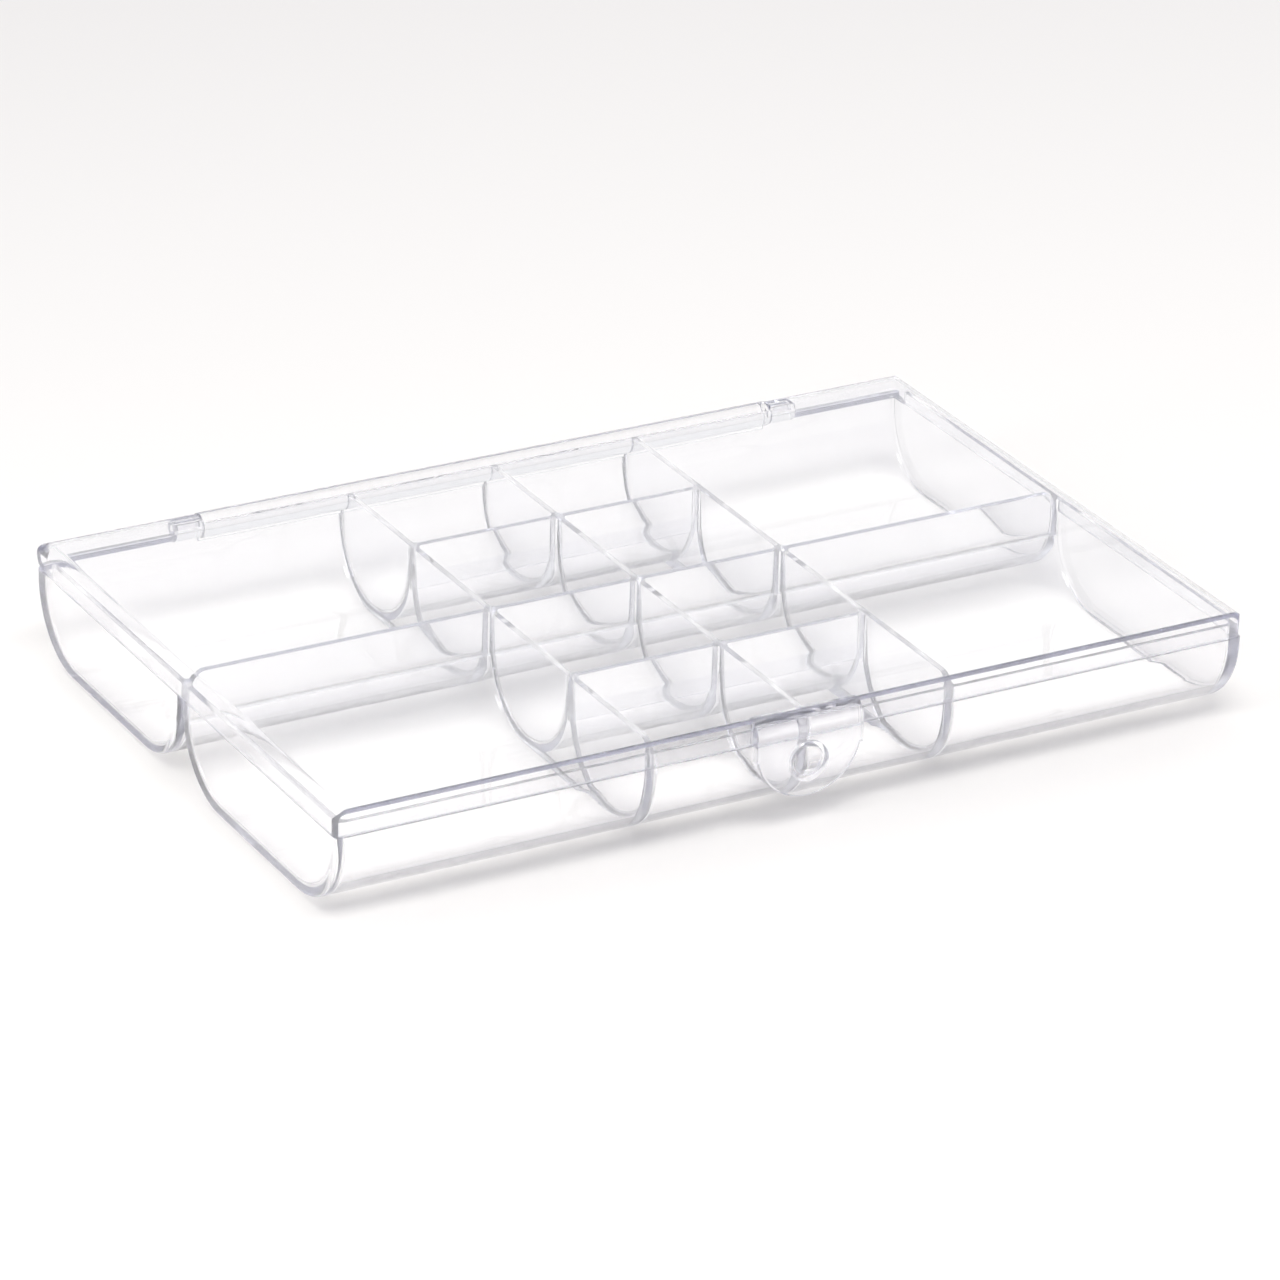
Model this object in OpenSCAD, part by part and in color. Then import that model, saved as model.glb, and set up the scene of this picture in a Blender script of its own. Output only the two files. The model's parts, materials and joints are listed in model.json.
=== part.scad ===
// Clear compartment box with a hinged lid.
// X runs along the latch edge, +Y points to the hinge, and Z = 0 is the surface the tray stands on.
// The origin is under the middle of the tray.

/* [Box] */
// Length of the box, along the latch edge
body_l = 210; // [170:1:260]
// Width of the box, from the latch face to the hinge face
body_w = 138.5; // [110:0.5:170]
// Height of the tray, from its feet to the parting line
tray_h = 18.9; // [15:0.1:30]
// Height of the lid above the parting line
lid_h = 6.1; // [5:0.1:8]

/* [Walls] */
// Thickness of the rounded troughs and their floors
trough_t = 1.5; // [1.2:0.1:2]
// Straight band of the tray's wall under the parting line
rim_band = 1.5; // [1.2:0.1:3]
// Width of the valleys between the troughs, at their tops
valley_w = 1.4; // [0.8:0.1:2.4]
// Thickness of the web that closes the valleys at the parting line
web_t = 1; // [0.8:0.1:1.4]
// Thickness of the lid's flat panel
panel_t = 1.3; // [1:0.1:1.6]
// Thickness of the lid's skirt
skirt_t = 1.1; // [0.9:0.05:1.4]
// Clearance between the skirt and the tray's lip
skirt_gap = 0.1; // [0.05:0.05:0.3]
// Gap between the closed lid and the tray's rim
seat_gap = 0.2; // [0.1:0.05:0.4]
// Thickness of the lip that stands inside the skirt
lip_t = 1; // [0.8:0.05:1.3]
// Height of the lip above the parting line
lip_h = 3; // [2:0.1:3.4]

/* [Dividers] */
// Thickness of every divider
divider_t = 1.4; // [1:0.1:1.8]
// Distance from one cross divider to the next
cross_pitch = 34.6; // [25:0.1:42]
// Gap between the divider tops and the closed lid
divider_gap = 0.3; // [0.2:0.05:0.8]
// Height of the tapered foot of the long dividers
divider_foot = 2.5; // [0.8:0.1:3]
// Rounding of the dividers' top end corners
divider_end_r = 2.2; // [1:0.1:3]

/* [Hinge] */
// Length of the hinge barrel on the tray
barrel_l = 138; // [100:1:150]
// Length of each hinge pin
pin_l = 5.5; // [4:0.1:7]
// Radius of the hinge pins
pin_r = 0.8; // [0.6:0.05:1]
// Radial clearance of the pins in the lid
pin_gap = 0.05; // [0.02:0.01:0.1]
// Gap at each end of the barrel and past each pin's tip
end_gap = 0.4; // [0.3:0.05:0.8]
// Gap between the barrel and the edge of the lid's cut-out
notch_gap = 0.7; // [0.4:0.05:1.5]

/* [Latch] */
// Width of the latch tab
tab_w = 24.4; // [18:0.1:30]
// Thickness of the latch tab
tab_t = 1.7; // [1.3:0.1:2.2]
// Gap between the tab and the tray's front face
tab_gap = 0.55; // [0.4:0.05:1]
// Rounding of the tab where it rolls down from the lid
root_r = 3.9; // [2.5:0.1:4.5]
// Distance from the parting line down to the centre of the tab's round end
tab_drop = 0.4; // [0:0.1:2]
// Radius of the tab's hole
hole_r = 4.4; // [3.5:0.1:5]
// Distance from the parting line down to the hole's centre
hole_drop = 4.9; // [4.7:0.1:6]
// Radial clearance of the stud in the hole
stud_gap = 0.9; // [0.5:0.05:1.2]
// Distance the stud stands past the tab's inner face
stud_catch = 1.3; // [0.8:0.05:1.6]

/* [Hidden] */
$fn = 96;

// Overshoot of a cut past the face that it opens
cut = 1;
// Gap between the two parts of the latch tab, above and below its bend
bend_gap = 0.1;

half_l = body_l / 2;
half_w = body_w / 2;
lid_top = tray_h + lid_h;
lid_low = tray_h + seat_gap;
panel_z = lid_top - panel_t;

// Four rows of troughs share the width, and their underside is round as far as the tray's height allows.
row_pitch = body_w / 4;
trough_r = min((row_pitch - valley_w) / 2, tray_h - rim_band);

// The lip's inner face is the inner face of the tray's four walls.
lip_out = skirt_t + skirt_gap;
wall_t = lip_out + lip_t;
inner_l = half_l - wall_t;
inner_w = half_w - wall_t;

// The lid's back edge is round about the hinge axis, and the barrel fills the height above the rim.
edge_r = (lid_top - lid_low) / 2;
hinge_y = half_w - edge_r;
hinge_z = lid_top - edge_r;
barrel_r = hinge_z - tray_h;
notch_y = hinge_y - barrel_r - notch_gap;
notch_x = barrel_l / 2 + end_gap;
lug_x = notch_x + pin_l + end_gap;

divider_top = panel_z - divider_gap;
cell_l = cross_pitch - divider_t;

tab_out = half_w + tab_gap + tab_t;
tab_in = tab_out - tab_t;
stud_r = hole_r - stud_gap;
stud_out = tab_in + stud_catch;

tray_clear = [0.90, 0.90, 0.93, 0.55];
lid_clear = [0.84, 0.85, 0.93, 0.40];

// Extrudes an outline drawn in Y and Z from x0 to x1.
module along_x(x0, x1) {
    translate([x0, 0, 0]) rotate([90, 0, 90]) linear_extrude(height = x1 - x0) children();
}

// Extrudes an outline drawn in X and Z from y0 to y1.
module along_y(y0, y1) {
    translate([0, y1, 0]) rotate([90, 0, 0]) linear_extrude(height = y1 - y0) children();
}

// Outline of a trough from y0 to y1, less half a valley on each inner side, taken in by t and carried up to z1.
module trough_outline(ya, yb, t, z1) {
    y0 = ya < 0.1 - half_w ? ya : ya + valley_w / 2;
    y1 = yb > half_w - 0.1 ? yb : yb - valley_w / 2;
    intersection() {
        for (y = [y0 + trough_r, y1 - trough_r]) translate([y, trough_r]) circle(r = trough_r - t);
        translate([y0, 0]) square([y1 - y0, trough_r]);
    }
    if (y1 - y0 > 2 * trough_r + 0.01)
        translate([y0 + trough_r, t]) square([y1 - y0 - 2 * trough_r, trough_r]);
    translate([y0 + t, trough_r]) square([y1 - y0 - 2 * t, z1 - trough_r]);
}

// A length of trough with its cavity, open at both ends and on top.
module trough(x0, x1, y0, y1) {
    difference() {
        along_x(x0, x1) trough_outline(y0, y1, 0, tray_h);
        intersection() {
            along_x(x0 - cut, x1 + cut) trough_outline(y0, y1, trough_t, tray_h + cut);
            translate([x0 - cut, -inner_w, 0]) cube([x1 - x0 + 2 * cut, 2 * inner_w, tray_h + cut]);
        }
    }
}

// Web between two troughs at y, seen from the end of the tray.
module web_outline(y) {
    translate([y - valley_w / 2, tray_h - web_t]) square([valley_w, web_t]);
}

// The two wide troughs seen from the end of the tray.
module wide_outline() {
    trough_outline(-half_w, 0, 0, tray_h);
    trough_outline(0, half_w, 0, tray_h);
    web_outline(0);
}

// The four narrow troughs seen from the end of the tray.
module narrow_outline() {
    for (row = [-2 : 1]) trough_outline(row * row_pitch, (row + 1) * row_pitch, 0, tray_h);
    for (row = [-1 : 1]) web_outline(row * row_pitch);
}

// Section of a long divider that stands on the web between two troughs at y.
module divider_section(y, gap = 0) {
    h = divider_t / 2 + gap;
    foot = valley_w / 2 + trough_t + gap;
    translate([y, 0]) polygon([
        [-foot, tray_h], [foot, tray_h], [h, tray_h + divider_foot],
        [h, divider_top], [-h, divider_top], [-h, tray_h + divider_foot]
    ]);
}

// A rounded-top rectangle from a0 to a1, drawn from the rim to the divider tops.
module divider_face(a0, a1) {
    r = divider_end_r;
    translate([a0, tray_h]) square([a1 - a0, divider_top - tray_h - r]);
    translate([a0 + r, tray_h]) square([a1 - a0 - 2 * r, divider_top - tray_h]);
    for (a = [a0 + r, a1 - r]) translate([a, divider_top - r]) circle(r = r);
}

// A cylinder about the hinge axis.
module on_hinge(r, x0, x1) {
    translate([x0, hinge_y, hinge_z]) rotate([0, 90, 0]) cylinder(r = r, h = x1 - x0);
}

module end_wall(side) {
    color(tray_clear) mirror([side < 0 ? 1 : 0, 0, 0]) along_x(inner_l, half_l) wide_outline();
}

module wide_trough(side, row) {
    x0 = cross_pitch + divider_t / 2;
    color(tray_clear) mirror([side < 0 ? 1 : 0, 0, 0])
        trough(x0, inner_l, row < 0 ? -half_w : 0, row < 0 ? 0 : half_w);
}

module cell(side, row) {
    y0 = (row - 3) * row_pitch;
    color(tray_clear) mirror([side < 0 ? 1 : 0, 0, 0])
        trough(divider_t / 2, divider_t / 2 + cell_l, y0, y0 + row_pitch);
}

module cross_divider(pos) {
    x0 = pos * cross_pitch - divider_t / 2;
    color(tray_clear) difference() {
        union() {
            along_x(x0, x0 + divider_t) {
                if (pos == 0) narrow_outline();
                else wide_outline();
            }
            along_x(x0, x0 + divider_t) divider_face(-inner_w, hinge_y);
        }
        on_hinge(barrel_r, x0 - cut, x0 + divider_t + cut);
        for (y = pos == 0 ? [-row_pitch, 0, row_pitch] : [0])
            along_x(x0 - cut, x0 + divider_t + cut) divider_section(y);
    }
}

// The webs under a long divider at y, one for each stretch between the plates that stand across it.
module webs(y, stretches) {
    for (x = stretches) along_x(x[0], x[1]) web_outline(y);
}

module centre_divider() {
    t = divider_t / 2;
    x = cross_pitch - t;
    color(tray_clear) {
        intersection() {
            along_x(-inner_l, inner_l) divider_section(0);
            along_y(-row_pitch, row_pitch) divider_face(-inner_l, inner_l);
        }
        webs(0, [[-inner_l, -x - divider_t], [-x, -t], [t, x], [x + divider_t, inner_l]]);
    }
}

module short_divider(side) {
    t = divider_t / 2;
    x = cross_pitch - t;
    color(tray_clear) {
        along_x(-x, x) divider_section(side * row_pitch);
        webs(side * row_pitch, [[-x, -t], [t, x]]);
    }
}

module rim_lip_front() {
    x = half_l - lip_out;
    color(tray_clear) translate([-x, -half_w + lip_out, tray_h]) cube([2 * x, lip_t, lip_h]);
}

module rim_lip_side(side) {
    color(tray_clear) mirror([side < 0 ? 1 : 0, 0, 0])
        translate([inner_l, -inner_w, tray_h]) cube([lip_t, inner_w + notch_y, lip_h]);
}

module latch_stud() {
    color(tray_clear) difference() {
        along_y(-stud_out, -half_w + trough_r / 2)
            translate([0, tray_h - hole_drop]) circle(r = stud_r);
        along_x(-tab_w, tab_w) trough_outline(-half_w, -half_w + row_pitch, 0, tray_h);
    }
}

module hinge_barrel() {
    x = barrel_l / 2;
    color(tray_clear) {
        on_hinge(barrel_r, -x, x);
        translate([-x, hinge_y, tray_h]) cube([2 * x, half_w - hinge_y, hinge_z - tray_h]);
    }
}

module hinge_pin(side) {
    x = barrel_l / 2;
    color(tray_clear) mirror([side < 0 ? 1 : 0, 0, 0]) on_hinge(pin_r, x, x + pin_l);
}

module lid_panel() {
    color(lid_clear) difference() {
        translate([-half_l, -half_w, panel_z]) cube([body_l, half_w + hinge_y, panel_t]);
        translate([-notch_x, notch_y, panel_z - cut])
            cube([2 * notch_x, hinge_y - notch_y + cut, panel_t + 2 * cut]);
    }
}

module lid_skirt_front() {
    color(lid_clear) translate([-half_l, -half_w, lid_low]) cube([body_l, skirt_t, panel_z - lid_low]);
}

module lid_skirt_side(side) {
    x = half_l - skirt_t;
    y = half_w - skirt_t;
    color(lid_clear) mirror([side < 0 ? 1 : 0, 0, 0]) {
        translate([x, -y, lid_low]) cube([skirt_t, y + hinge_y, panel_z - lid_low]);
        intersection() {
            on_hinge(edge_r, x, half_l);
            translate([x, hinge_y, lid_low]) cube([skirt_t, edge_r, 2 * edge_r]);
        }
    }
}

module lid_back(side) {
    x = half_l - skirt_t;
    color(lid_clear) mirror([side < 0 ? 1 : 0, 0, 0]) difference() {
        intersection() {
            on_hinge(edge_r, lug_x, x);
            translate([lug_x, hinge_y, lid_low]) cube([x - lug_x, edge_r, 2 * edge_r]);
        }
        on_hinge(edge_r - panel_t, lug_x - cut, x + cut);
    }
}

module hinge_lug(side) {
    depth = pin_l + end_gap - (notch_x - barrel_l / 2);
    color(lid_clear) mirror([side < 0 ? 1 : 0, 0, 0]) difference() {
        on_hinge(edge_r, notch_x, lug_x);
        on_hinge(pin_r + pin_gap, notch_x - cut, notch_x + depth);
        translate([notch_x - cut, hinge_y - edge_r - cut, panel_z])
            cube([lug_x - notch_x + 2 * cut, edge_r + cut, panel_t + cut]);
    }
}

module latch_root() {
    y = root_r - tab_out;
    z = lid_top - root_r;
    color(lid_clear) difference() {
        along_x(-tab_w / 2, tab_w / 2) {
            intersection() {
                translate([y, z]) circle(r = root_r);
                translate([y - root_r, z]) square(root_r);
            }
            translate([-tab_out, lid_low]) square([root_r, z - lid_low]);
        }
        translate([-tab_w, -half_w, lid_low - cut]) cube([2 * tab_w, half_w, lid_h + 2 * cut]);
    }
}

module latch_tab() {
    z = tray_h - tab_drop;
    top = lid_low - bend_gap;
    color(lid_clear) along_y(-tab_out, -tab_in) difference() {
        union() {
            translate([0, z]) circle(r = tab_w / 2);
            translate([-tab_w / 2, z]) square([tab_w, top - z]);
        }
        translate([-tab_w, top]) square([2 * tab_w, tab_w]);
        translate([0, tray_h - hole_drop]) circle(r = hole_r);
    }
}

end_wall(-1);  // end_wall_left
end_wall(1);  // end_wall_right
wide_trough(-1, -1);  // trough_left_front
wide_trough(-1, 1);  // trough_left_back
wide_trough(1, -1);  // trough_right_front
wide_trough(1, 1);  // trough_right_back
cell(-1, 1);  // cell_1_left
cell(-1, 2);  // cell_2_left
cell(-1, 3);  // cell_3_left
cell(-1, 4);  // cell_4_left
cell(1, 1);  // cell_1_right
cell(1, 2);  // cell_2_right
cell(1, 3);  // cell_3_right
cell(1, 4);  // cell_4_right
cross_divider(-1);  // cross_divider_left
cross_divider(0);  // cross_divider_middle
cross_divider(1);  // cross_divider_right
centre_divider();
short_divider(-1);  // short_divider_front
short_divider(1);  // short_divider_back
rim_lip_front();
rim_lip_side(-1);  // rim_lip_left
rim_lip_side(1);  // rim_lip_right
latch_stud();
hinge_barrel();
hinge_pin(-1);  // hinge_pin_left
hinge_pin(1);  // hinge_pin_right
lid_panel();
lid_skirt_front();
lid_skirt_side(-1);  // lid_skirt_left
lid_skirt_side(1);  // lid_skirt_right
lid_back(-1);  // lid_back_left
lid_back(1);  // lid_back_right
hinge_lug(-1);  // hinge_lug_left
hinge_lug(1);  // hinge_lug_right
latch_root();
latch_tab();
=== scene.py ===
import json
import math

import bmesh
import bpy
from mathutils import Matrix, Vector


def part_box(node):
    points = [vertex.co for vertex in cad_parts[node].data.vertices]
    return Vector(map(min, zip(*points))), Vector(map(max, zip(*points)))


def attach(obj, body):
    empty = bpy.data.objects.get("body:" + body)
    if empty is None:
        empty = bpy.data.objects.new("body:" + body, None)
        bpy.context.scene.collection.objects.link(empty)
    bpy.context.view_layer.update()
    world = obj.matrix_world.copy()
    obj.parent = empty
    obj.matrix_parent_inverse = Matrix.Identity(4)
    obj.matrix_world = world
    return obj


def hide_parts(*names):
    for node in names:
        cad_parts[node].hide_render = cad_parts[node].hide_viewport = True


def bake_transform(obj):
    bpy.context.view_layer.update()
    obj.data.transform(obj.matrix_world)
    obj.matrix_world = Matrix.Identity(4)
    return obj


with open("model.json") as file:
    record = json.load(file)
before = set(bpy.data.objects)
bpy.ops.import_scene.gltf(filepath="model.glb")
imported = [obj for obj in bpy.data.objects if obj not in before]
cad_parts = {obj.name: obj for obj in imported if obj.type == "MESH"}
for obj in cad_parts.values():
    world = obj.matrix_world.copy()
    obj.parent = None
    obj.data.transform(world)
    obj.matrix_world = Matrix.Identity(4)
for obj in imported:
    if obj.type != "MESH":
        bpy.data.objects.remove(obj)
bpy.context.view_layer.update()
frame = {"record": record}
scene = bpy.context.scene

# The meshes are made in millimetres, and scaled to metres when they are finished
toMetres = 0.001


def nodeBox(name):
    low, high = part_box(name)
    return low / toMetres, high / toMetres


# The camera stands in front of the box, to the left and above
camera = {
    "lens": 187.5,
    "sensor": 36.0,
    "azimuth": 29.99,  # degrees from +Y towards +X that it looks along
    "elevation": 25.52,
    "roll": 1.894,
    "offset": (-0.723, 7.972, 1386.6),  # right, up and forward from the camera to the target, mm
    "target": (0.0, 0.0, 18.9),  # middle of the parting line, mm
    "farthest": 50,  # it sees this far, metres
}


def makeCamera(c):
    az, el, roll = (math.radians(c[k]) for k in ("azimuth", "elevation", "roll"))
    forward = Vector((math.sin(az) * math.cos(el), math.cos(az) * math.cos(el), -math.sin(el)))
    right = Vector((math.cos(az), -math.sin(az), 0))
    up = right.cross(forward)
    rightRolled = right * math.cos(roll) + up * math.sin(roll)
    upRolled = up * math.cos(roll) - right * math.sin(roll)
    dx, dy, dz = c["offset"]
    place = Vector(c["target"]) - (rightRolled * dx + upRolled * dy + forward * dz)
    data = bpy.data.cameras.new("camera")
    data.lens, data.sensor_width, data.clip_end = c["lens"], c["sensor"], c["farthest"]
    obj = bpy.data.objects.new("camera", data)
    scene.collection.objects.link(obj)
    turn = Matrix((rightRolled, upRolled, -forward)).transposed().to_4x4()
    obj.matrix_world = Matrix.Translation(place * toMetres) @ turn
    scene.camera = obj


makeCamera(camera)
print("camera: placed")

near = 0.001  # two measures that differ by less count as the same, mm
inset = 0.01  # keeps the round parts just inside their room, mm
beyond = 5  # a cutting block reaches this far past what it cuts, mm
overlap = 1  # parts that become one go this far into each other, mm
tuck = 0.1  # keeps hidden ends from lying exactly face to face, mm
meet = 0.02  # arcs whose ends are nearer than this end in one point, mm


# Whether both ends of the edge are at one of the values of x, y or z.
def at(edge, axis, *values):
    return any(all(abs(getattr(v.co, axis) - value) < near for v in edge.verts) for value in values)


# Whether the edge goes more than a millimetre along x, y or z.
def runs(edge, axis):
    a, b = (getattr(v.co, axis) for v in edge.verts)
    return abs(a - b) > 1


# Rounds the edges that pass the test.
def rounded(bm, test, radius, segments):
    edges = [e for e in bm.edges if test(e)]
    bmesh.ops.bevel(bm, geom=edges, offset=radius, offset_type="OFFSET", segments=segments, profile=0.5,
                    affect="EDGES", material=-1, clamp_overlap=True)


def blockMesh(low, high):
    bm = bmesh.new()
    bmesh.ops.create_cube(bm, size=1)
    low, high = Vector(low), Vector(high)
    bmesh.ops.scale(bm, vec=high - low, verts=bm.verts)
    bmesh.ops.translate(bm, vec=(low + high) / 2, verts=bm.verts)
    return bm


# A round bar along X, for the hinge.
def rodMesh(x0, x1, y, z, radius, sides, rounding=0.0):
    bm = bmesh.new()
    turn = Matrix.Rotation(math.radians(90), 4, "Y")
    middle = Matrix.Translation(((x0 + x1) / 2, y, z))
    bmesh.ops.create_cone(bm, cap_ends=True, segments=sides, radius1=radius, radius2=radius,
                          depth=x1 - x0, matrix=middle @ turn)
    if rounding:
        rounded(bm, lambda e: not runs(e, "x"), rounding, segments=3)
    return bm


# A round stud along Y, for the latch. Its front end is at y0.
def studMesh(x, y0, y1, z, radius, sides, rounding=0.0):
    bm = bmesh.new()
    turn = Matrix.Rotation(math.radians(90), 4, "X")
    middle = Matrix.Translation((x, (y0 + y1) / 2, z))
    bmesh.ops.create_cone(bm, cap_ends=True, segments=sides, radius1=radius, radius2=radius,
                          depth=y1 - y0, matrix=middle @ turn)
    if rounding:
        rounded(bm, lambda e: at(e, "y", y0), rounding, segments=4)
    return bm


# Carries a vertex round an arc in the Y-Z plane, and returns the vertex at its end.
def arc(bm, start, centre, degrees, steps):
    made = bmesh.ops.spin(bm, geom=[start], cent=(start.co.x, *centre), axis=(1, 0, 0), dvec=(0, 0, 0),
                          angle=math.radians(degrees), steps=steps, use_merge=False)
    return [g for g in made["geom_last"] if isinstance(g, bmesh.types.BMVert)][0]


# Joins the ends of two arcs, or makes one point of them.
def link(bm, a, b):
    if (a.co - b.co).length < meet:
        bmesh.ops.pointmerge(bm, verts=[a, b], merge_co=(a.co + b.co) / 2)
    else:
        bm.edges.new((a, b))


# Fills the closed outline and draws it out along X.
def drawnOut(bm, length):
    face = bmesh.ops.contextual_create(bm, geom=bm.edges[:])["faces"][0]
    made = bmesh.ops.extrude_face_region(bm, geom=[face])["geom"]
    verts = [g for g in made if isinstance(g, bmesh.types.BMVert)]
    bmesh.ops.translate(bm, vec=(length, 0, 0), verts=verts)
    bmesh.ops.recalc_face_normals(bm, faces=bm.faces)


def toObject(bm, name):
    bmesh.ops.recalc_face_normals(bm, faces=bm.faces)
    mesh = bpy.data.meshes.new(name)
    bm.to_mesh(mesh)
    bm.free()
    obj = bpy.data.objects.new(name, mesh)
    scene.collection.objects.link(obj)
    return obj


# Puts parts that don't touch into one mesh, so that one cut takes them all.
def together(parts):
    whole = bmesh.new()
    for part in parts:
        mesh = bpy.data.meshes.new("part")
        bmesh.ops.recalc_face_normals(part, faces=part.faces)
        part.to_mesh(mesh)
        part.free()
        whole.from_mesh(mesh)
        bpy.data.meshes.remove(mesh)
    return whole


# Joins the parts to the piece, or cuts them from it, and keeps the result as its mesh.
def combine(obj, operation, parts):
    for part in parts:
        tool = toObject(part, "tool")
        step = obj.modifiers.new("step", "BOOLEAN")
        step.operation, step.solver, step.object = operation, "EXACT", tool
        applyAll(obj)
        bpy.data.objects.remove(tool)


def applyAll(obj):
    bpy.context.view_layer.update()
    result = bpy.data.meshes.new_from_object(obj.evaluated_get(bpy.context.evaluated_depsgraph_get()))
    obj.modifiers.clear()
    obj.data = result


finish = {
    "merge": 0.004,  # points closer than this become one, mm
    "flat": 0.3,  # faces this close to level with each other become one, degrees
    "sharp": 40,  # edges that turn more than this are rounded, degrees
    "radius": 0.14,  # of the sharp edges, mm
    "segments": 2,
    "smooth": 38,  # the shading runs smoothly over edges that turn less than this, degrees
}


# Merges what the cuts left double, rounds the sharp edges a little and scales the piece to metres.
def finishMesh(obj, f):
    bm = bmesh.new()
    bm.from_mesh(obj.data)
    bmesh.ops.remove_doubles(bm, verts=bm.verts, dist=f["merge"])
    bmesh.ops.dissolve_limit(bm, angle_limit=math.radians(f["flat"]), verts=bm.verts, edges=bm.edges,
                             use_dissolve_boundaries=False)
    sharp = [e for e in bm.edges if len(e.link_faces) == 2 and e.calc_face_angle() > math.radians(f["sharp"])]
    bmesh.ops.bevel(bm, geom=sharp, offset=f["radius"], offset_type="OFFSET", segments=f["segments"],
                    profile=0.5, affect="EDGES", material=-1, clamp_overlap=True)
    bmesh.ops.remove_doubles(bm, verts=bm.verts, dist=f["merge"])
    bmesh.ops.triangulate(bm, faces=[face for face in bm.faces if len(face.verts) > 4])
    for face in bm.faces:
        face.smooth = True
    openEdges = sum(1 for e in bm.edges if not e.is_manifold)
    bmesh.ops.scale(bm, vec=(toMetres,) * 3, verts=bm.verts)
    print(f"{obj.name}: {len(bm.faces)} faces, {openEdges} open edges, {bm.calc_volume() * 1e6:.2f} cm3")
    bm.to_mesh(obj.data)
    bm.free()
    obj.data.set_sharp_from_angle(angle=math.radians(f["smooth"]))
    shade = obj.modifiers.new("flat faces stay flat", "WEIGHTED_NORMAL")
    shade.mode, shade.keep_sharp = "FACE_AREA", True


# The tray, in millimetres
tray = {
    "outerRadius": 17.0,  # round underside of the troughs
    "innerRadius": 15.9,
    "floor": 1.5,
    "arcSteps": 36,
    "valley": 0.6,  # gap between two rows, at the rim
    "web": 5.6,  # over the gap the two rows are one piece, for this far below the rim
    "webHalf": 1.6,  # half the width of the piece that joins them
    "endRounding": 1.2,  # outline of the end walls
    "fillet": 1.1,  # inside corners of each compartment
    "root": 1.5,  # half the divider's thickness where it meets the troughs
    "draft": 6.5,  # slope of the long dividers, degrees
    "dividerEnd": 2.6,  # rounded top corners of the dividers
    "dividerShort": 0.6,  # from a divider's end to the wall
    "dividerSpare": 0.6,  # the hollows cut this much off each side of a divider
    "dividerSink": 1.6,  # the dividers' plates start this far below the rim
    "lipSink": 1.3,  # and the lip's block this far
    "barrelRounding": 0.3,
    "barrelFoot": 0.4,  # from the foot under the barrel to the back of the tray
    "pinRounding": 0.2,
    "studRounding": 0.5,
    "coreRise": 1.5,  # the hollows are cut from this far above the dividers
}

halfL, halfW, rim = nodeBox("end_wall_right")[1]
lipLow, lipHigh = nodeBox("rim_lip_right")
frontLow, frontHigh = nodeBox("rim_lip_front")
barrelLow, barrelHigh = nodeBox("hinge_barrel")
pinLow, pinHigh = nodeBox("hinge_pin_right")
studLow, studHigh = nodeBox("latch_stud")
crossLow, crossHigh = nodeBox("cross_divider_right")
innerL, innerW, lipTop = lipLow.x, -frontHigh.y, lipHigh.z
dividerTop = nodeBox("centre_divider")[1].z
crossX = (crossLow.x + crossHigh.x) / 2
halfT = (crossHigh.x - crossLow.x) / 2
rowPitch = halfW / 2
barrelR = (barrelHigh.z - barrelLow.z) / 2 - inset
pinR = (pinHigh.z - pinLow.z) / 2
hingeY, hingeZ = (barrelHigh.y + barrelLow.y) / 2, (barrelHigh.z + barrelLow.z) / 2
studR, studZ = (studHigh.z - studLow.z) / 2, (studHigh.z + studLow.z) / 2
clearTop = dividerTop + tray["coreRise"]


# One of the two long rounded bars that the troughs are hollowed from.
def barMesh(y0, y1, t):
    bm = blockMesh((-halfL, y0, 0), (halfL, y1, rim))
    rounded(bm, lambda e: at(e, "z", 0) and runs(e, "x"), t["outerRadius"], t["arcSteps"])
    rounded(bm, lambda e: at(e, "x", halfL, -halfL) and not at(e, "z", rim), t["endRounding"], segments=4)
    return bm


# The hollow of one compartment. A side is a wall, straight up, or a divider that leans away from the hollow.
def coreMesh(x0, x1, low, high, t):
    bm = bmesh.new()
    reach = [side[0] + (t["root"] if side[1] else 0) * sign for side, sign in ((low, 1), (high, -1))]
    r = min(t["innerRadius"], (reach[1] - reach[0]) / 2)
    zc = t["floor"] + r
    ends = []
    for divides, edge, sign in ((high[1], reach[1], 1), (low[1], reach[0], -1)):
        lean = math.radians(t["draft"] if divides else 0)
        centre = edge - sign * r
        start = bm.verts.new((x0, centre + sign * r * math.cos(lean), zc - r * math.sin(lean)))
        rise = clearTop - start.co.z
        top = bm.verts.new((x0, start.co.y + sign * rise * math.tan(lean), clearTop))
        bm.edges.new((top, start))
        last = arc(bm, start, (centre, zc), -sign * (90 - math.degrees(lean)), t["arcSteps"])
        ends.append((top, last))
    link(bm, ends[0][1], ends[1][1])
    bm.edges.new((ends[0][0], ends[1][0]))
    drawnOut(bm, x1 - x0)
    rounded(bm, lambda e: at(e, "x", x0, x1) and not at(e, "z", clearTop), t["fillet"], segments=4)
    return bm


# The groove under a short divider, between the round undersides of two rows of small compartments.
def grooveMesh(x0, x1, y, t):
    bm = bmesh.new()
    r, half = t["outerRadius"], t["valley"] / 2
    ends = []
    for sign in (1, -1):
        top = bm.verts.new((x0, y + sign * half, rim - t["web"]))
        start = bm.verts.new((x0, y + sign * half, r))
        bm.edges.new((top, start))
        last = arc(bm, start, (y + sign * (half + r), r), sign * 90, t["arcSteps"])
        foot = bm.verts.new((x0, last.co.y, -beyond))
        bm.edges.new((last, foot))
        ends.append((top, foot))
    bm.edges.new((ends[0][0], ends[1][0]))
    bm.edges.new((ends[0][1], ends[1][1]))
    drawnOut(bm, x1 - x0)
    return bm


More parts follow.
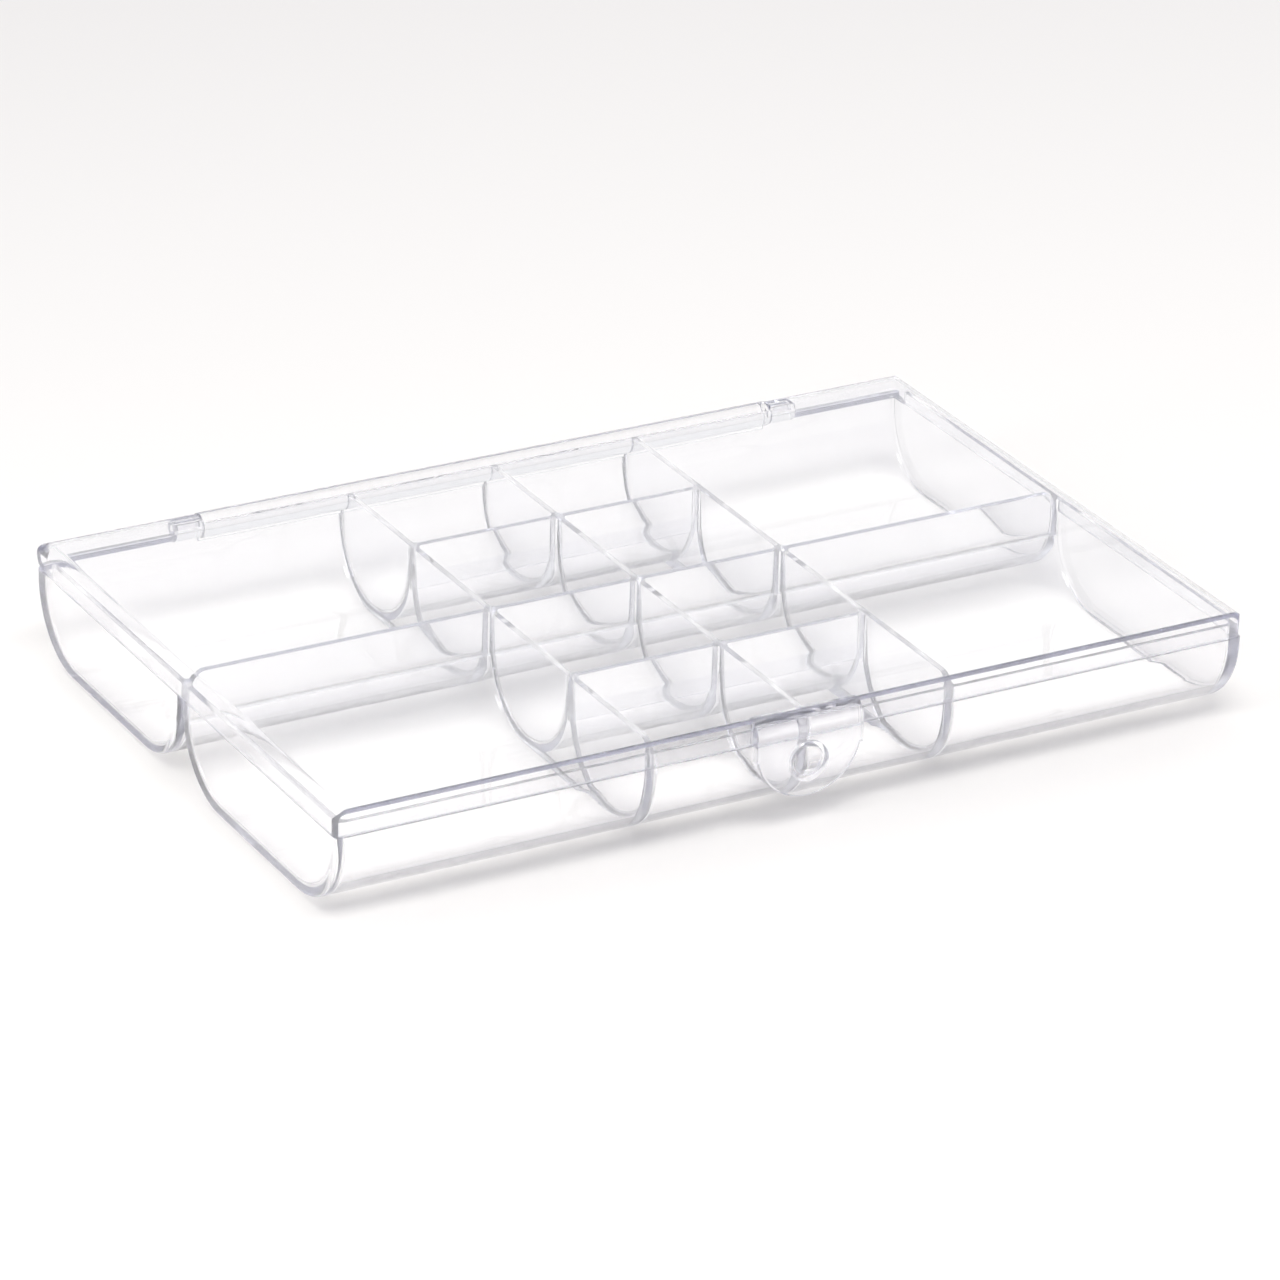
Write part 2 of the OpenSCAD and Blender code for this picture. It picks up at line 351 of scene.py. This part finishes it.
# Each divider starts as a plate thicker than it ends up, with its top corners rounded.
def dividerPlates(t):
    plates = []
    thick = t["root"] + t["dividerSpare"]
    low = rim - t["dividerSink"]
    for y, x in ((0, innerL - t["dividerShort"]), (-rowPitch, crossX), (rowPitch, crossX)):
        bm = blockMesh((-x, y - thick, low), (x, y + thick, dividerTop))
        if y == 0:
            rounded(bm, lambda e: at(e, "z", dividerTop) and runs(e, "y"), t["dividerEnd"], segments=6)
        plates.append(bm)
    for x in (-crossX, 0, crossX):
        bm = blockMesh((x - thick, -innerW - tuck, low), (x + thick, hingeY, dividerTop))
        rounded(bm, lambda e: at(e, "z", dividerTop) and runs(e, "x") and e.verts[0].co.y < 0,
                t["dividerEnd"], segments=6)
        plates.append(bm)
    return plates


def compartmentCores(t):
    cores = []
    rows = [-innerW, -rowPitch, 0, rowPitch, innerW]
    sides = [(rows[i], i not in (0, 4)) for i in range(5)]  # where it is, and whether it is a divider
    for sign in (-1, 1):
        for i in range(4):
            a, b = sorted((sign * halfT, sign * (crossX - halfT)))
            cores.append(coreMesh(a, b, sides[i], sides[i + 1], t))
        a, b = sorted((sign * (crossX + halfT), sign * innerL))
        cores.append(coreMesh(a, b, sides[0], sides[2], t))
        cores.append(coreMesh(a, b, sides[2], sides[4], t))
    return cores


def makeTray(t):
    gap = t["valley"] / 2
    obj = toObject(barMesh(-halfW, -gap, t), "tray_moulding")
    webL = halfL - overlap
    web = blockMesh((-webL, -t["webHalf"], rim - t["web"]), (webL, t["webHalf"], rim))
    lip = blockMesh((-lipHigh.x, frontLow.y, rim - t["lipSink"]), (lipHigh.x, lipHigh.y, lipTop))
    combine(obj, "UNION", [barMesh(gap, halfW, t), web, lip, *dividerPlates(t)])
    print("tray: solid body joined")
    combine(obj, "DIFFERENCE", [together(compartmentCores(t))])
    reach = crossX - halfT
    combine(obj, "DIFFERENCE", [grooveMesh(-reach, reach, y, t) for y in (-rowPitch, rowPitch)])
    print("tray: compartments hollowed")
    barrel = rodMesh(barrelLow.x, barrelHigh.x, hingeY, hingeZ, barrelR, sides=64,
                     rounding=t["barrelRounding"])
    foot = blockMesh((barrelLow.x + tuck, hingeY, rim - overlap),
                     (barrelHigh.x - tuck, halfW - t["barrelFoot"], hingeZ))
    pins = rodMesh(-pinHigh.x, pinHigh.x, hingeY, hingeZ, pinR, sides=32, rounding=t["pinRounding"])
    stud = studMesh(0, studLow.y, -halfW + overlap, studZ, studR, sides=64, rounding=t["studRounding"])
    combine(obj, "UNION", [barrel, foot, pins, stud])
    print("tray: hinge barrel, pins and stud joined")
    finishMesh(obj, finish)
    return obj


trayMoulding = makeTray(tray)

# The lid, in millimetres
lid = {
    "topRounding": 0.3,
    "endRoll": 2.8,  # the rounded top of the two ends
    "cornerRounding": 2.2,
    "rollSteps": 10,
    "notchRounding": 0.6,  # corners of the cut-out for the barrel
    "pinRoom": 0.4,  # from a pin's end to the bottom of its bore
    "pinPlay": 0.05,  # round the pin
    "tabRoll": 3.9,  # the panel rolls over into the tab
    "rollSink": 3.0,  # the roll starts this far below the rim
    "rollDepth": 1.6,  # and reaches this far in behind the tray's front
    "tabEdge": 0.5,
    "holeRadius": 4.4,
    "bendTop": 19.0,  # the tab bends from here
    "bendLow": 16.2,  # down to here
    "bendRings": 6,
}

panelLow, panelHigh = nodeBox("lid_panel")
skirtLow, skirtHigh = nodeBox("lid_skirt_front")
insideL = nodeBox("lid_skirt_right")[0].x
lugLow, lugHigh = nodeBox("hinge_lug_right")
rootLow, rootHigh = nodeBox("latch_root")
tabLow, tabHigh = nodeBox("latch_tab")
lidLow, lidTop, ceiling = skirtLow.z, panelHigh.z, panelLow.z
backR = nodeBox("lid_back_right")[1].y - hingeY - inset  # the half round along the lid's back


# The lid without its inside. The back is half round, and the two ends roll over.
def lidBody(d):
    bm = blockMesh((-halfL, -halfW, lidLow), (halfL, halfW, lidTop))
    rounded(bm, lambda e: at(e, "y", halfW) and runs(e, "x"), backR - inset, segments=10)
    rounded(bm, lambda e: at(e, "y", -halfW) and runs(e, "z"), d["cornerRounding"], segments=6)
    top = max(bm.faces, key=lambda f: f.calc_center_median().z)
    front = [e for e in bm.edges if top in e.link_faces and max(v.co.y for v in e.verts) < hingeY]
    back = [e for e in bm.edges if at(e, "x", halfL, -halfL) and min(v.co.y for v in e.verts) > hingeY]
    bmesh.ops.bevel(bm, geom=front + back, offset=d["topRounding"], offset_type="OFFSET", segments=5,
                    profile=0.5, affect="EDGES", material=-1, clamp_overlap=True)
    obj = toObject(bm, "lid_moulding")
    rolled = blockMesh((-halfL, -halfW - beyond, lidLow - beyond), (halfL, halfW + beyond, lidTop))
    rounded(rolled, lambda e: at(e, "z", lidTop) and runs(e, "y"), d["endRoll"], d["rollSteps"])
    combine(obj, "INTERSECT", [rolled])
    return obj


def hollowLid(obj, d):
    inside = blockMesh((-insideL, skirtHigh.y, lidLow - beyond), (insideL, hingeY, ceiling))
    rounded(inside, lambda e: at(e, "z", ceiling) and at(e, "x", insideL, -insideL),
            d["endRoll"] - (halfL - insideL), d["rollSteps"])
    combine(obj, "DIFFERENCE", [inside])
    # The back edge is a hollow half round beyond the hinge lugs
    hollowR = backR - (lidTop - ceiling)
    combine(obj, "DIFFERENCE", [rodMesh(-insideL, insideL, hingeY, hingeZ, hollowR, sides=48)])
    print("lid: shell hollowed")


def makeHingeSide(obj, d):
    lugs = []
    for sign in (-1, 1):
        a, b = sorted((sign * (lugLow.x - overlap), sign * lugHigh.x))
        lugs.append(rodMesh(a, b, hingeY, hingeZ, backR - 2 * inset, sides=64))
    combine(obj, "UNION", lugs)
    notchY = lipHigh.y  # the cut-out stands clear of the barrel
    notch = blockMesh((-lugLow.x, notchY, lidLow - beyond), (lugLow.x, halfW + beyond, lidTop + beyond))
    rounded(notch, lambda e: at(e, "y", notchY) and runs(e, "z"), d["notchRounding"], segments=3)
    boreL = pinHigh.x + d["pinRoom"]
    bore = rodMesh(-boreL, boreL, hingeY, hingeZ, pinR + d["pinPlay"], sides=32)
    combine(obj, "DIFFERENCE", [notch, bore])
    print("lid: hinge lugs and cut-out made")


# The panel rolls over the front edge into the latch tab.
def latchMesh(d):
    roll = blockMesh((rootLow.x, tabLow.y, rim - d["rollSink"]),
                     (rootHigh.x, -halfW + d["rollDepth"], lidTop))
    rounded(roll, lambda e: at(e, "y", tabLow.y) and at(e, "z", lidTop), d["tabRoll"], d["rollSteps"])
    latch = toObject(roll, "latch")
    under = blockMesh((rootLow.x - beyond, tabHigh.y, rim - beyond),
                      (rootHigh.x + beyond, -halfW + beyond, lidLow))
    combine(latch, "DIFFERENCE", [under])
    tabTop = lidLow + overlap
    tab = blockMesh((tabLow.x, tabLow.y, tabLow.z), (tabHigh.x, tabHigh.y, tabTop))
    roundR = (tabHigh.x - tabLow.x) / 2 - inset
    rounded(tab, lambda e: at(e, "z", tabLow.z) and runs(e, "y"), roundR, segments=20)
    rounded(tab, lambda e: at(e, "y", tabLow.y) and not at(e, "z", tabTop), d["tabEdge"], segments=3)
    combine(latch, "UNION", [tab])
    hole = studMesh(0, tabLow.y - beyond, tabHigh.y + beyond, studZ, d["holeRadius"], sides=64)
    combine(latch, "DIFFERENCE", [hole])
    bm = bmesh.new()
    bm.from_mesh(latch.data)
    bpy.data.objects.remove(latch)
    return bm


# Rings across the tab, where the lid's blend turns.
def cutBendRings(obj, d):
    bm = bmesh.new()
    bm.from_mesh(obj.data)
    for i in range(d["bendRings"] + 1):
        z = (d["bendTop"] + (d["bendLow"] - d["bendTop"]) * i / d["bendRings"]) * toMetres
        everything = [*bm.verts, *bm.edges, *bm.faces]
        bmesh.ops.bisect_plane(bm, geom=everything, plane_co=(0, 0, z), plane_no=(0, 0, 1))
    bm.to_mesh(obj.data)
    bm.free()


def makeLid(d):
    obj = lidBody(d)
    hollowLid(obj, d)
    makeHingeSide(obj, d)
    combine(obj, "UNION", [latchMesh(d)])
    print("lid: latch tab joined")
    finishMesh(obj, finish)
    cutBendRings(obj, d)
    return obj


lidMoulding = makeLid(lid)


def linear(hexColour):
    parts = [int(hexColour[i : i + 2], 16) / 255 for i in (0, 2, 4)]
    return [c / 12.92 if c <= 0.04045 else ((c + 0.055) / 1.055) ** 2.4 for c in parts] + [1]


mixA, mixB, mixed = 6, 7, 2  # the sockets of a Mix node that mixes colours


def addNode(tree, kind, settings=None, inputs=None):
    node = tree.nodes.new(kind)
    for key, value in (settings or {}).items():
        setattr(node, key, value)
    for key, value in (inputs or {}).items():
        if isinstance(value, bpy.types.NodeSocket):
            tree.links.new(value, node.inputs[key])
        else:
            node.inputs[key].default_value = value
    return node


# Clear polystyrene, injection moulded in polished steel: glassy, with faint long waves where the melt flowed
# and a slight haze that varies from place to place.
polystyrene = {
    "colour": "FDFDFE",
    "toner": "B4B6D8",  # the violet toner shows where light runs along a wall
    "tonerDensity": 4.0,  # per metre
    "shadow": "FBFBFA",
    "shadowSteep": "80808A",
    "ior": 1.59,
    "clear": 0.98,  # the rest is haze
    "roughness": (0.0, 0.03),
    "hazeMm": 22,
    "hazeDetail": 3,
    "hazeRange": (0.35, 0.7),  # the part of the noise that the roughness follows
    "flowMm": 26,
    "flowDetail": 2,
    "flowGrain": 0.45,
    "flowStretch": (0.5, 1.0, 1.0),
    "flowStrength": 0.25,
    "flowDepthMm": 0.12,
}


def clearPolystyrene(name, p):
    material = bpy.data.materials.new(name)
    material.use_nodes = True
    tree = material.node_tree
    tree.nodes.clear()
    place = addNode(tree, "ShaderNodeTexCoord")
    flow = addNode(tree, "ShaderNodeMapping", {}, {
        "Vector": place.outputs["Object"], "Scale": p["flowStretch"]})
    waves = addNode(tree, "ShaderNodeTexNoise", {}, {
        "Vector": flow.outputs[0], "Scale": 1 / (p["flowMm"] * toMetres),
        "Detail": p["flowDetail"], "Roughness": p["flowGrain"]})
    bump = addNode(tree, "ShaderNodeBump", {}, {
        "Height": waves.outputs["Fac"], "Strength": p["flowStrength"],
        "Distance": p["flowDepthMm"] * toMetres})
    haze = addNode(tree, "ShaderNodeTexNoise", {}, {
        "Vector": place.outputs["Object"], "Scale": 1 / (p["hazeMm"] * toMetres),
        "Detail": p["hazeDetail"]})
    rough = addNode(tree, "ShaderNodeMapRange", {}, {
        "Value": haze.outputs["Fac"], "From Min": p["hazeRange"][0], "From Max": p["hazeRange"][1],
        "To Min": p["roughness"][0], "To Max": p["roughness"][1]})
    plastic = addNode(tree, "ShaderNodeBsdfPrincipled", {}, {
        "Base Color": linear(p["colour"]), "IOR": p["ior"], "Transmission Weight": p["clear"],
        "Roughness": rough.outputs[0], "Normal": bump.outputs[0]})
    # Steep walls send the light aside, so what stands under them is a little darker
    steep = addNode(tree, "ShaderNodeLayerWeight", {}, {"Blend": 0.5})
    shade = addNode(tree, "ShaderNodeMix", {"data_type": "RGBA"}, {
        "Factor": steep.outputs["Facing"], mixA: linear(p["shadow"]), mixB: linear(p["shadowSteep"])})
    through = addNode(tree, "ShaderNodeBsdfTransparent", {}, {"Color": shade.outputs[mixed]})
    path = addNode(tree, "ShaderNodeLightPath")
    surface = addNode(tree, "ShaderNodeMixShader", {}, {
        0: path.outputs["Is Shadow Ray"], 1: plastic.outputs[0], 2: through.outputs[0]})
    toner = addNode(tree, "ShaderNodeVolumeAbsorption", {}, {
        "Color": linear(p["toner"]), "Density": p["tonerDensity"]})
    addNode(tree, "ShaderNodeOutputMaterial", {}, {"Surface": surface.outputs[0], "Volume": toner.outputs[0]})
    return material


lidPolystyrene = {**polystyrene, "flowMm": 32, "tonerDensity": 9.0}  # thinner walls, so the toner is stronger

trayMoulding.data.materials.clear()
trayMoulding.data.materials.append(clearPolystyrene("clear_polystyrene_tray", polystyrene))
lidMoulding.data.materials.clear()
lidMoulding.data.materials.append(clearPolystyrene("clear_polystyrene_lid", lidPolystyrene))
print("materials: clear polystyrene on both mouldings")

# What rides on what.
bodies = frame["record"]["behaviour"]["bodies"]
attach(trayMoulding, "tray")
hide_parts(*bodies["tray"])
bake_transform(lidMoulding)
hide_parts(*bodies["lid"], *bodies["latch"])

studio = {
    "floorSize": 14.0,
    "floorDrop": 0.0002,  # below the tray, metres
    "floor": "E5E3DF",
    "floorGlow": 0.09,
    "floorRoughness": 0.9,
    "floorShine": 0.1,
    "worldFront": "8A8A9C",
    "worldBack": "F6F6F6",
    "worldTurn": (-0.5, 0.6),  # the front tone gives way to the back one between these, of -1 to 1
    "worldStrength": 1.0,
    "bounces": 64,  # light goes round many times inside a clear wall before it leaves
    # place of the middle, size, power, colour
    "lights": {
        "top_soft_box": ((-0.15, -0.5, 1.15), (0.7, 0.5), 10.2, "FFFFFF"),
        "right_soft_box": ((1.3, -0.3, 0.8), (0.25, 0.9), 3.8, "FFFFFF"),
        "left_soft_box": ((-1.3, -0.2, 0.7), (0.25, 0.9), 4.8, "FFFFFF"),
    },
}


# Matt white paper, with a faint glow that keeps the ground pale under the box.
def makeFloor(s):
    bm = bmesh.new()
    bmesh.ops.create_grid(bm, x_segments=1, y_segments=1, size=s["floorSize"])
    mesh = bpy.data.meshes.new("floor")
    bm.to_mesh(mesh)
    bm.free()
    floor = bpy.data.objects.new("floor", mesh)
    scene.collection.objects.link(floor)
    floor.location.z = -s["floorDrop"]
    paper = bpy.data.materials.new("white_paper")
    paper.use_nodes = True
    base = paper.node_tree.nodes["Principled BSDF"].inputs
    base["Base Color"].default_value = linear(s["floor"])
    base["Roughness"].default_value = s["floorRoughness"]
    base["Specular IOR Level"].default_value = s["floorShine"]
    base["Emission Color"].default_value = linear(s["floor"])
    base["Emission Strength"].default_value = s["floorGlow"]
    mesh.materials.append(paper)


def makeLights(s):
    for name, (place, size, power, colour) in s["lights"].items():
        data = bpy.data.lights.new(name, "AREA")
        data.shape, data.size, data.size_y = "RECTANGLE", *size
        data.energy, data.color = power, linear(colour)[:3]
        lamp = bpy.data.objects.new(name, data)
        scene.collection.objects.link(lamp)
        lamp.location = place
        lamp.rotation_euler = (-Vector(place)).to_track_quat("-Z", "Y").to_euler()


# A dim room in front of the box, and a pale wall behind it.
def makeWorld(s):
    world = bpy.data.worlds.new("studio")
    scene.world = world
    world.use_nodes = True
    tree = world.node_tree
    way = addNode(tree, "ShaderNodeTexCoord")
    part = addNode(tree, "ShaderNodeSeparateXYZ", {}, {0: way.outputs["Generated"]})
    share = addNode(tree, "ShaderNodeMapRange", {"interpolation_type": "SMOOTHSTEP"}, {
        "Value": part.outputs["Y"], "From Min": s["worldTurn"][0], "From Max": s["worldTurn"][1]})
    colour = addNode(tree, "ShaderNodeMix", {"data_type": "RGBA"}, {
        "Factor": share.outputs[0], mixA: linear(s["worldFront"]), mixB: linear(s["worldBack"])})
    back = tree.nodes["Background"].inputs
    tree.links.new(colour.outputs[mixed], back["Color"])
    back["Strength"].default_value = s["worldStrength"]


makeFloor(studio)
makeLights(studio)
makeWorld(studio)
scene.view_settings.view_transform = "Standard"
scene.cycles.max_bounces = studio["bounces"]
scene.cycles.transmission_bounces = studio["bounces"]
scene.cycles.glossy_bounces = studio["bounces"]
scene.cycles.transparent_max_bounces = studio["bounces"]
print("studio: floor, lights and world made")
